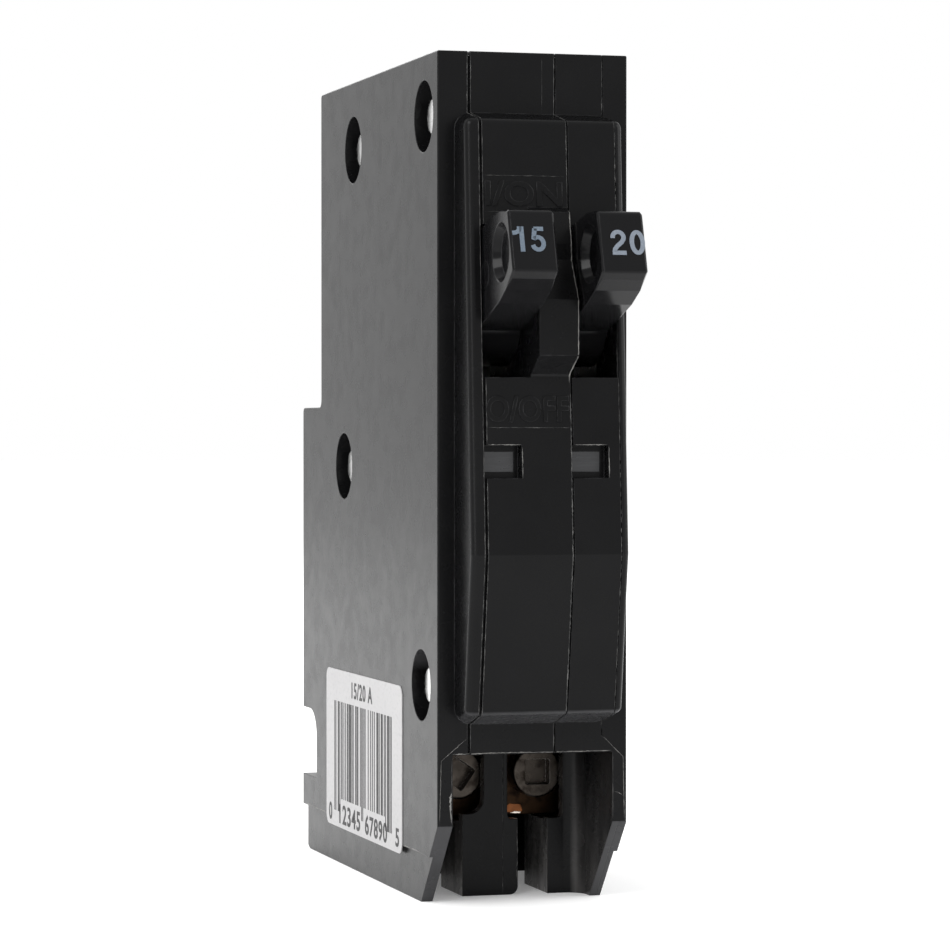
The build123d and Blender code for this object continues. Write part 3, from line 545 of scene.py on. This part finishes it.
# ---- handles -----------------------------------------------------------------------------------
def handle_place(pole, reach, above):
    """Point of a handle by its distance from the pivot along the grip, and above its middle line."""
    low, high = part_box(f"handle_{pole}")
    out = Vector((0, -math.cos(HANDLE_LEAN), math.sin(HANDLE_LEAN)))
    rise = Vector((0, math.sin(HANDLE_LEAN), math.cos(HANDLE_LEAN)))
    pivot = Vector(((low.x + high.x) / 2, depth(PIVOT_BACK), height(PIVOT_DROP)))
    return pivot + out * reach + rise * above, rise


def arc(centre_x, centre_y, wide, tall, first, last, steps=14):
    """Points on part of an oval, from one angle to another in degrees."""
    angles = [math.radians(first + (last - first) * i / steps) for i in range(steps + 1)]
    return [(centre_x + wide * math.cos(angle), centre_y + tall * math.sin(angle)) for angle in angles]


# strokes of the digits printed on the handles, one unit tall and about 0.6 wide
DIGIT_STROKES = {
    "0": [arc(0.29, 0.5, 0.205, 0.415, 90, 450, 36)],
    "1": [[(0.06, 0.745), (0.17, 0.755), (0.27, 0.80), (0.325, 0.90), (0.33, 1.0)],
          [(0.40, 0.0), (0.40, 1.0)]],
    "2": [arc(0.285, 0.70, 0.205, 0.215, 190, -22) + [(0.40, 0.50), (0.24, 0.36), (0.135, 0.23),
                                                     (0.115, 0.13)],
          [(0.03, 0.075), (0.55, 0.075)]],
    "5": [[(0.51, 0.92), (0.155, 0.92)],
          [(0.19, 0.93), (0.125, 0.50)] + arc(0.28, 0.335, 0.205, 0.25, 135, -165)],
}
STROKE_WIDE, STROKE_THICK = 0.165, 0.03
DIGIT_TALL, DIGIT_STEP = 2.42 * MM, 1.80 * MM
DIGIT_STRETCH = 1.06

# where the middle of each rating sits on its grip face: to the right, and above the middle line
RATING_PLACES = {"a": (-0.41 * MM, 0.08 * MM), "b": (0.55 * MM, -0.08 * MM)}


def stroke(shape, points, wide, thick, place):
    """Flat ribbon of even width along a line of points, put in place."""
    closed = (Vector(points[0]) - Vector(points[-1])).length < 1e-6
    line = [Vector(point) for point in (points[:-1] if closed else points)]
    rows = []
    for i, point in enumerate(line):
        before = line[i - 1] if closed or i > 0 else point
        after = line[(i + 1) % len(line)] if closed or i < len(line) - 1 else point
        along = (after - before).normalized()
        side = Vector((-along.y, along.x)) * (wide / 2)
        rows.append([shape.verts.new(place @ Vector((*(point + side * turn), level)))
                     for turn, level in ((1, 0), (-1, 0), (-1, thick), (1, thick))])
    for row, after in zip(rows, rows[1:] + (rows[:1] if closed else [])):
        for j in range(4):
            k = (j + 1) % 4
            shape.faces.new((row[j], row[k], after[k], after[j]))
    if not closed:
        shape.faces.new(rows[0])
        shape.faces.new(rows[-1])


def handle_numerals(paints):
    """Rating printed across each handle's front."""
    for pole, (shift, above) in RATING_PLACES.items():
        middle, rise = handle_place(pole, HANDLE_REACH + 0.005 * MM, above)
        face = plane_matrix(middle + Vector((shift, 0, 0)), (1, 0, 0), rise)

        def digits(shape):
            for i, digit in enumerate(RATINGS[pole]):
                corner = Matrix.Translation(((i - 1) * DIGIT_STEP + 0.1 * MM, -DIGIT_TALL / 2, 0))
                scaled = face @ corner @ Matrix.Diagonal((DIGIT_TALL * DIGIT_STRETCH, DIGIT_TALL,
                                                          DIGIT_TALL, 1))
                for line in DIGIT_STROKES[digit]:
                    stroke(shape, line, STROKE_WIDE, STROKE_THICK, scaled)

        piece(f"rating_{pole}", mesh_of(f"rating_{pole}", digits), paints[pole], f"handle_{pole}")


def ejector_rings(material):
    """Small ring left by the mould's ejector on each side of a handle."""
    ring_radius, line = 1.2 * MM, 0.07 * MM
    around, sides = 40, 6
    for pole in POLES:
        low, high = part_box(f"handle_{pole}")
        centre, _ = handle_place(pole, 8.85 * MM, -0.2 * MM)

        def ring(shape):
            for side_x in (low.x, high.x):
                rows = []
                for i in range(around):
                    angle = math.tau * i / around
                    row = []
                    for j in range(sides):
                        across = math.tau * j / sides
                        radius = ring_radius + line * math.cos(across)
                        row.append(shape.verts.new((side_x + 0.5 * line * math.sin(across),
                                                    centre.y + radius * math.cos(angle),
                                                    centre.z + radius * math.sin(angle))))
                    rows.append(row)
                for row, after in zip(rows, rows[1:] + rows[:1]):
                    for j in range(sides):
                        k = (j + 1) % sides
                        shape.faces.new((row[j], row[k], after[k], after[j]))

        mesh = mesh_of(f"ejector_rings_{pole}", ring)
        mesh.shade_smooth()
        piece(f"ejector_rings_{pole}", mesh, material, f"handle_{pole}")


# ---- lines and letters moulded on the case -----------------------------------------------------
# how far out the rays that find the case's skin start, in metres, and how deep ridges sink into it
FAR_OFF, NEAR_OFF = 0.05, 0.01
SUNK = 0.02 * MM


def case_surface():
    """Search tree of the closed case's surface."""
    points, faces = [], []
    for name in CASE_NODES:
        mesh = frame["nodes"][name].data
        start = len(points)
        points += [v.co.copy() for v in mesh.vertices]
        faces += [[start + i for i in polygon.vertices] for polygon in mesh.polygons]
    return BVHTree.FromPolygons(points, faces)


def surface_line(surface, start, end, toward, steps):
    """Points where rays cast toward the case from a line between start and end meet it."""
    found = []
    start, end, toward = Vector(start), Vector(end), Vector(toward).normalized()
    for i in range(steps + 1):
        spot, normal, _, _ = surface.ray_cast(start.lerp(end, i / steps), toward)
        if spot is not None:
            found.append((spot, normal))
    return found


def flash_ridge(shape, line, wide, tall, seed, sideways):
    """Low torn ridge along a line of surface points."""
    dice = random.Random(seed)
    rows = []
    for i, (spot, normal) in enumerate(line):
        out = -Vector(normal) if normal.dot(line[0][1]) < -0.2 else Vector(normal)
        ends = min(i, len(line) - 1 - i, 3) / 3
        half = wide / 2 * (0.6 + 0.6 * dice.random()) * (0.2 + 0.8 * ends)
        lift = tall * (0.4 + 0.8 * dice.random()) * ends
        shift = sideways * ((dice.random() - 0.5) * wide * 0.35)
        middle = spot + shift
        rows.append([shape.verts.new(middle - sideways * half - out * SUNK),
                     shape.verts.new(middle + out * lift),
                     shape.verts.new(middle + sideways * half - out * SUNK)])
    for row, after in zip(rows, rows[1:]):
        for j in (0, 1):
            shape.faces.new((row[j], row[j + 1], after[j + 1], after[j]))
        shape.faces.new((row[2], row[0], after[0], after[2]))
    for row in (rows[0], rows[-1]):
        shape.faces.new(row)


# thin lines on the front, as name, path of X and drop points, width and height in mm, and paleness: the
# pale ones are flash with a painted highlight, on ridges that catch the light
LEFT_LIP, CENTRE_LIP, RIGHT_LIP = -6.45, 2.1, 6.85
FRONT_FLASH = [
    ("left_outer", [(LEFT_LIP - 0.05, 0.2), (LEFT_LIP - 0.05, 65.0)], 0.09, 0.04, "dull"),
    ("left_inner", [(LEFT_LIP + 0.29, 0.2), (LEFT_LIP + 0.29, 66.4)], 0.09, 0.04, "dull"),
    ("centre_top", [(CENTRE_LIP - 0.04, 0.2), (CENTRE_LIP - 0.04, 14.6)], 0.09, 0.04, "dull"),
    ("centre_rib", [(CENTRE_LIP - 0.12, 15.2), (CENTRE_LIP - 0.12, 31.6)], 0.12, 0.05, "pale"),
    ("centre_low", [(CENTRE_LIP - 0.04, 32.2), (CENTRE_LIP - 0.04, 66.4)], 0.12, 0.05, "dull"),
    ("right_seam", [(RIGHT_LIP, 0.2), (RIGHT_LIP, 64.9)], 0.08, 0.04, "dull"),
    ("top_scratch", [(0.88, 0.2), (0.88, 5.7)], 0.06, 0.03, "dull"),
    ("off_underline", [(-6.1, 35.6), (2.0, 35.6)], 0.10, 0.05, "dull"),
    ("off_left", [(-6.12, 31.2), (-6.12, 38.0)], 0.08, 0.04, "dull"),
    ("on_overline", [(-6.1, 12.0), (2.0, 12.0)], 0.08, 0.04, "dull"),
    ("on_underline", [(-6.1, 15.4), (-2.1, 15.4)], 0.08, 0.04, "dull"),
    ("window_a_top", [(-6.2, 37.2), (-2.8, 37.2)], 0.10, 0.05, "pale"),
    ("window_a_side", [(-2.72, 37.3), (-2.72, 40.4)], 0.10, 0.05, "pale"),
    ("window_b_top", [(2.3, 37.2), (5.7, 37.2)], 0.10, 0.05, "pale"),
    ("window_b_side", [(5.78, 37.3), (5.78, 40.4)], 0.10, 0.05, "pale"),
    ("lip", [(-7.9, 66.5), (-3.0, 66.45), (2.0, 66.5), (7.9, 66.48)], 0.12, 0.06, "pale"),
    ("nose_left", [(-6.5, 65.0), (-9.04, 67.12), (-9.2, 73.1)], 0.08, 0.04, "pale"),
    ("nose_left_inner", [(-8.0, 67.0), (-8.0, 70.2)], 0.07, 0.03, "dull"),
    ("nose_left_burr", [(-8.02, 70.1), (-8.14, 70.6), (-8.12, 71.8), (-8.0, 73.1)], 0.22, 0.09, "pale"),
    ("nose_right", [(6.9, 65.0), (9.04, 67.12), (9.18, 73.1)], 0.08, 0.04, "pale"),
    ("nose_right_inner", [(8.02, 66.8), (8.02, 73.1)], 0.07, 0.03, "dull"),
    ("nose_right_step", [(8.1, 70.4), (8.6, 70.55), (9.1, 70.9)], 0.07, 0.03, "pale"),
    ("block_seam", [(-0.03, 67.6), (-0.03, 81.0)], 0.08, 0.04, "dull"),
    ("block_corner_burr", [(1.42, 74.6), (1.46, 77.2), (1.40, 80.0)], 0.12, 0.05, "dull"),
]


def front_flash(surface, finishes):
    """Thin torn ridges of plastic along the parting lines and sharp edges of the front."""
    step = 0.2
    for seed, (name, path, wide, tall, tone) in enumerate(FRONT_FLASH):
        line = []
        for (x0, drop0), (x1, drop1) in zip(path, path[1:]):
            start = (x0 * MM, FRONT - FAR_OFF, height(drop0))
            end = (x1 * MM, FRONT - FAR_OFF, height(drop1))
            steps = max(4, int(math.hypot(x1 - x0, drop1 - drop0) / step))
            line += surface_line(surface, start, end, (0, 1, 0), steps)
        along = Vector((path[-1][0] - path[0][0], 0, path[0][1] - path[-1][1])).normalized()
        across = Vector((along.z, 0, -along.x))
        for part, stretch in enumerate(unbroken(line)):
            full = f"flash_{name}_{part}" if part else f"flash_{name}"
            seam_ridge(full, stretch, wide, tall, seed, across, finishes[tone])


def unbroken(line, leap=0.9 * MM):
    """The line split wherever it jumps to another face."""
    stretches, current = [], [line[0]]
    for before, after in zip(line, line[1:]):
        if abs(after[0].y - before[0].y) > leap:
            stretches.append(current)
            current = []
        current.append(after)
    stretches.append(current)
    return [stretch for stretch in stretches if len(stretch) >= 4]


def seam_ridge(name, line, wide, tall, seed, sideways, finish):
    """One ridge along a line of surface points, as a piece of the case."""
    mesh = mesh_of(name, lambda shape: flash_ridge(shape, line, wide * MM, tall * MM, seed, sideways))
    piece(name, mesh, finish, "housing")


def other_flash(surface, finish):
    """Flash where the parting planes meet the top and the back."""
    along_x = Vector((1, 0, 0))
    wide, tall = 0.10, 0.03
    top_start, top_end, top_steps = depth(0.3), depth(46.4), 180
    back_start, back_end, back_steps = height(34.2), height(65.5), 140
    seams = (("left", LEFT_SEAM - 0.05 * MM), ("centre", CENTRE_SEAM - 0.04 * MM), ("right", RIGHT_SEAM))
    for seed, (name, x) in enumerate(seams):
        line = surface_line(surface, (x, top_start, TOP + NEAR_OFF), (x, top_end, TOP + NEAR_OFF),
                            (0, 0, -1), top_steps)
        seam_ridge(f"flash_top_{name}", line, wide, tall, seed + 50, along_x, finish)
        line = surface_line(surface, (x, BACK + NEAR_OFF, back_start), (x, BACK + NEAR_OFF, back_end),
                            (0, -1, 0), back_steps)
        seam_ridge(f"flash_back_{name}", line, wide, tall, seed + 60, along_x, finish)


def painted_ledge_highlight(surface, finish):
    """Painted highlight on both sides: a pale ridge along the edge of the step round the lower end, clear
    of the label.
    """
    low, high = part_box("side_label")
    upward = Vector((0, 0, 1))
    gap, step = 0.3 * MM, 0.3 * MM
    wide, tall = 0.16, 0.04
    front_end, back_end, level = depth(5.6), depth(54.4), height(LEDGE_DROP)
    spans = (("left_front", -1, front_end, low.y - gap), ("left_back", -1, high.y + gap, back_end),
             ("right", 1, front_end, back_end))
    for seed, (name, side, first, last) in enumerate(spans):
        line = surface_line(surface, (side * FAR_OFF, first, level), (side * FAR_OFF, last, level),
                            (-side, 0, 0), max(4, int((last - first) / step)))
        seam_ridge(f"ledge_highlight_line_{name}", line, wide, tall, seed + 70, upward, finish)


# the moulded words: name, words, X of the middle, drop, width and height in mm
MOULDED_WORDS = [("off_mark", "O/OFF", -2.15, 33.85, 8.1, 2.5), ("on_mark", "I/ON", -2.2, 13.7, 7.6, 2.4)]


def raised_words(surface, plastic):
    """The words ON and OFF, moulded proud of the case above and below the handles."""
    probe = 1.2
    for name, words, x, drop, wide, tall in MOULDED_WORDS:
        spots = surface_line(surface, (x * MM, FRONT - FAR_OFF, height(drop + probe)),
                             (x * MM, FRONT - FAR_OFF, height(drop - probe)), (0, 1, 0), 2)
        rise = spots[-1][0] - spots[0][0]
        place = plane_matrix(spots[1][0], (1, 0, 0), rise)
        mesh = lettering(name, words, wide * MM, tall * MM, place, 0.16 * MM, 0.03, 1.02)
        piece(name, mesh, plastic, "housing")


# patches at the clamp's lower left corner, in mm from that corner: rubbed copper and one painted glint, a
# highlight, on it
COPPER_PATCH = [(0.35, 0.22), (1.70, 0.06), (2.05, 0.35), (1.80, 0.95), (0.70, 1.05), (0.10, 0.70)]
GLINT_PATCH = [(0.70, 0.14), (1.30, 0.07), (1.80, 0.08), (1.84, 0.22), (1.20, 0.27)]
PATCH_SKIN = 0.03 * MM


def flat_patch(shape, outline, lift, face):
    """Thin plate with an outline in mm, from a skin's depth below a face to lift above it."""
    rings = [[shape.verts.new(face @ Vector((x * MM, y * MM, level))) for x, y in outline]
             for level in (-PATCH_SKIN, lift)]
    shape.faces.new(rings[1])
    shape.faces.new(list(reversed(rings[0])))
    for i in range(len(outline)):
        k = (i + 1) % len(outline)
        shape.faces.new((rings[0][i], rings[0][k], rings[1][k], rings[1][i]))


def bare_corner_with_glint():
    """Where the clamp's finish has rubbed off at the lower left corner: bare copper, and one glint
    painted on it as a highlight.
    """
    patches = [("copper", COPPER_PATCH, PATCH_SKIN,
                metal("bare_copper", (0.05, 0.02, 0.01), (0.22, 0.08, 0.03), (0.22, 0.4), patch=0.5)),
               # painted glint: a bright metal patch that stands for a highlight
               ("glint", GLINT_PATCH, 1.6 * PATCH_SKIN,
                metal("painted_glint", (0.46, 0.39, 0.34), (0.72, 0.66, 0.60), (0.1, 0.2), patch=0.8))]
    for pole in POLES:
        low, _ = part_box(f"clamp_plate_{pole}")
        face = plane_matrix((low.x, low.y, low.z), (1, 0, 0), (0, 0, 1))
        for name, outline, lift, material in patches:
            full = f"clamp_{name}_{pole}"
            mesh = mesh_of(full, lambda shape: flat_patch(shape, outline, lift, face))
            piece(full, mesh, material, f"clamp_{pole}")


def bending_leaves():
    """Armature leaf springs: each spring's mesh is copied into a new object that stands in for its CAD
    node, which is hidden.
    """
    for pole in POLES:
        node = f"armature_spring_{pole}"
        leaf = bpy.data.objects.new(f"armature_leaf_{pole}", frame["nodes"][node].data.copy())
        bpy.context.scene.collection.objects.link(leaf)
        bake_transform(leaf)
        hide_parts(node)


# ---- stage -------------------------------------------------------------------------------------
# floor disc: radius in metres, gap below the part, and the strength of its own light
FLOOR_RADIUS, FLOOR_GAP, FLOOR_GLOW = 6.0, 0.02 * MM, 0.16


def pale_floor():
    """Large plain floor, faintly uneven."""
    finish = Finish("floor_white", IOR=1.4, Specular_IOR_Level=0.1)
    cloud = finish.noise(0.4, 2)
    finish.colour(finish.mix(cloud, (0.86, 0.86, 0.86), (0.9, 0.9, 0.9)))
    finish.roughness(cloud, 0.7, 0.8)
    finish.shader.inputs["Emission Color"].default_value = (1, 1, 1, 1)
    finish.shader.inputs["Emission Strength"].default_value = FLOOR_GLOW

    def disc(shape):
        bmesh.ops.create_circle(shape, cap_ends=True, segments=96, radius=FLOOR_RADIUS)

    mesh = mesh_of("floor", disc)
    mesh.materials.append(finish.material)
    floor = bpy.data.objects.new("floor", mesh)
    bpy.context.scene.collection.objects.link(floor)
    floor.location.z = cad_low.z - FLOOR_GAP


def soft_light(name, place, size, power, narrow=1.0):
    """Soft box that looks at the part: size wide and size / narrow tall."""
    lamp = bpy.data.lights.new(name, "AREA")
    lamp.shape = "RECTANGLE"
    lamp.size = size
    lamp.size_y = size / narrow
    lamp.energy = power
    made = bpy.data.objects.new(name, lamp)
    bpy.context.scene.collection.objects.link(made)
    made.location = place
    aim = (cad_low + cad_high) / 2
    made.rotation_euler = (aim - Vector(place)).to_track_quat("-Z", "Y").to_euler()


def studio():
    """White surroundings, three soft boxes and one tall strip to the left."""
    world = bpy.data.worlds.new("white_room")
    world.use_nodes = True
    background = world.node_tree.nodes["Background"]
    background.inputs["Color"].default_value = (1, 1, 1, 1)
    background.inputs["Strength"].default_value = 1.0
    bpy.context.scene.world = world
    soft_light("key_light", (-0.55, -0.45, 0.60), 0.5, 5.0)
    soft_light("fill_light", (0.65, -0.25, 0.35), 0.5, 2.5)
    soft_light("back_light", (-0.10, 0.65, 0.60), 0.6, 4.0)
    soft_light("strip_light", (-0.74, -0.58, 0.05), 0.10, 2.0, narrow=0.125)
    bpy.context.scene.view_settings.view_transform = "Standard"
    bpy.context.scene.view_settings.look = "None"


CAMERA_TURN = math.radians(15.972)
CAMERA_TILT = math.radians(0.638)
CAMERA_PLACE = (-98.77 * MM, -345.54 * MM, 44.99 * MM)
CAMERA_LENS = 135.4


def camera():
    """Camera a little to the left of the front, near the middle of the part's height."""
    eye = bpy.data.objects.new("camera", bpy.data.cameras.new("camera"))
    bpy.context.scene.collection.objects.link(eye)
    eye.data.lens = CAMERA_LENS
    eye.data.sensor_width = 36
    eye.data.clip_start = 0.01
    eye.data.clip_end = 50
    ahead = Vector((math.sin(CAMERA_TURN) * math.cos(CAMERA_TILT),
                    math.cos(CAMERA_TURN) * math.cos(CAMERA_TILT), -math.sin(CAMERA_TILT)))
    eye.location = CAMERA_PLACE
    eye.rotation_euler = ahead.to_track_quat("-Z", "Y").to_euler()
    bpy.context.scene.camera = eye


# ---- the whole scene ---------------------------------------------------------------------------
def main():
    finishes = slot_materials()
    dress_cad_nodes(finishes)
    surface = case_surface()
    label_print(ink("label_black", (0.012, 0.012, 0.013), (0.10, 0.10, 0.10)))
    handle_numerals({"a": ink("numeral_blue", (0.080, 0.105, 0.135), (0.125, 0.150, 0.180)),
                     "b": ink("numeral_grey", (0.125, 0.145, 0.175), (0.165, 0.185, 0.215))})
    ejector_rings(finishes["handle_plastic"])
    torn = flash_tones()
    front_flash(surface, torn)
    other_flash(surface, torn["dull"])
    painted_ledge_highlight(surface, torn["pale"])
    raised_words(surface, finishes["case_plastic"])
    bare_corner_with_glint()
    bending_leaves()
    pale_floor()
    studio()
    camera()


main()
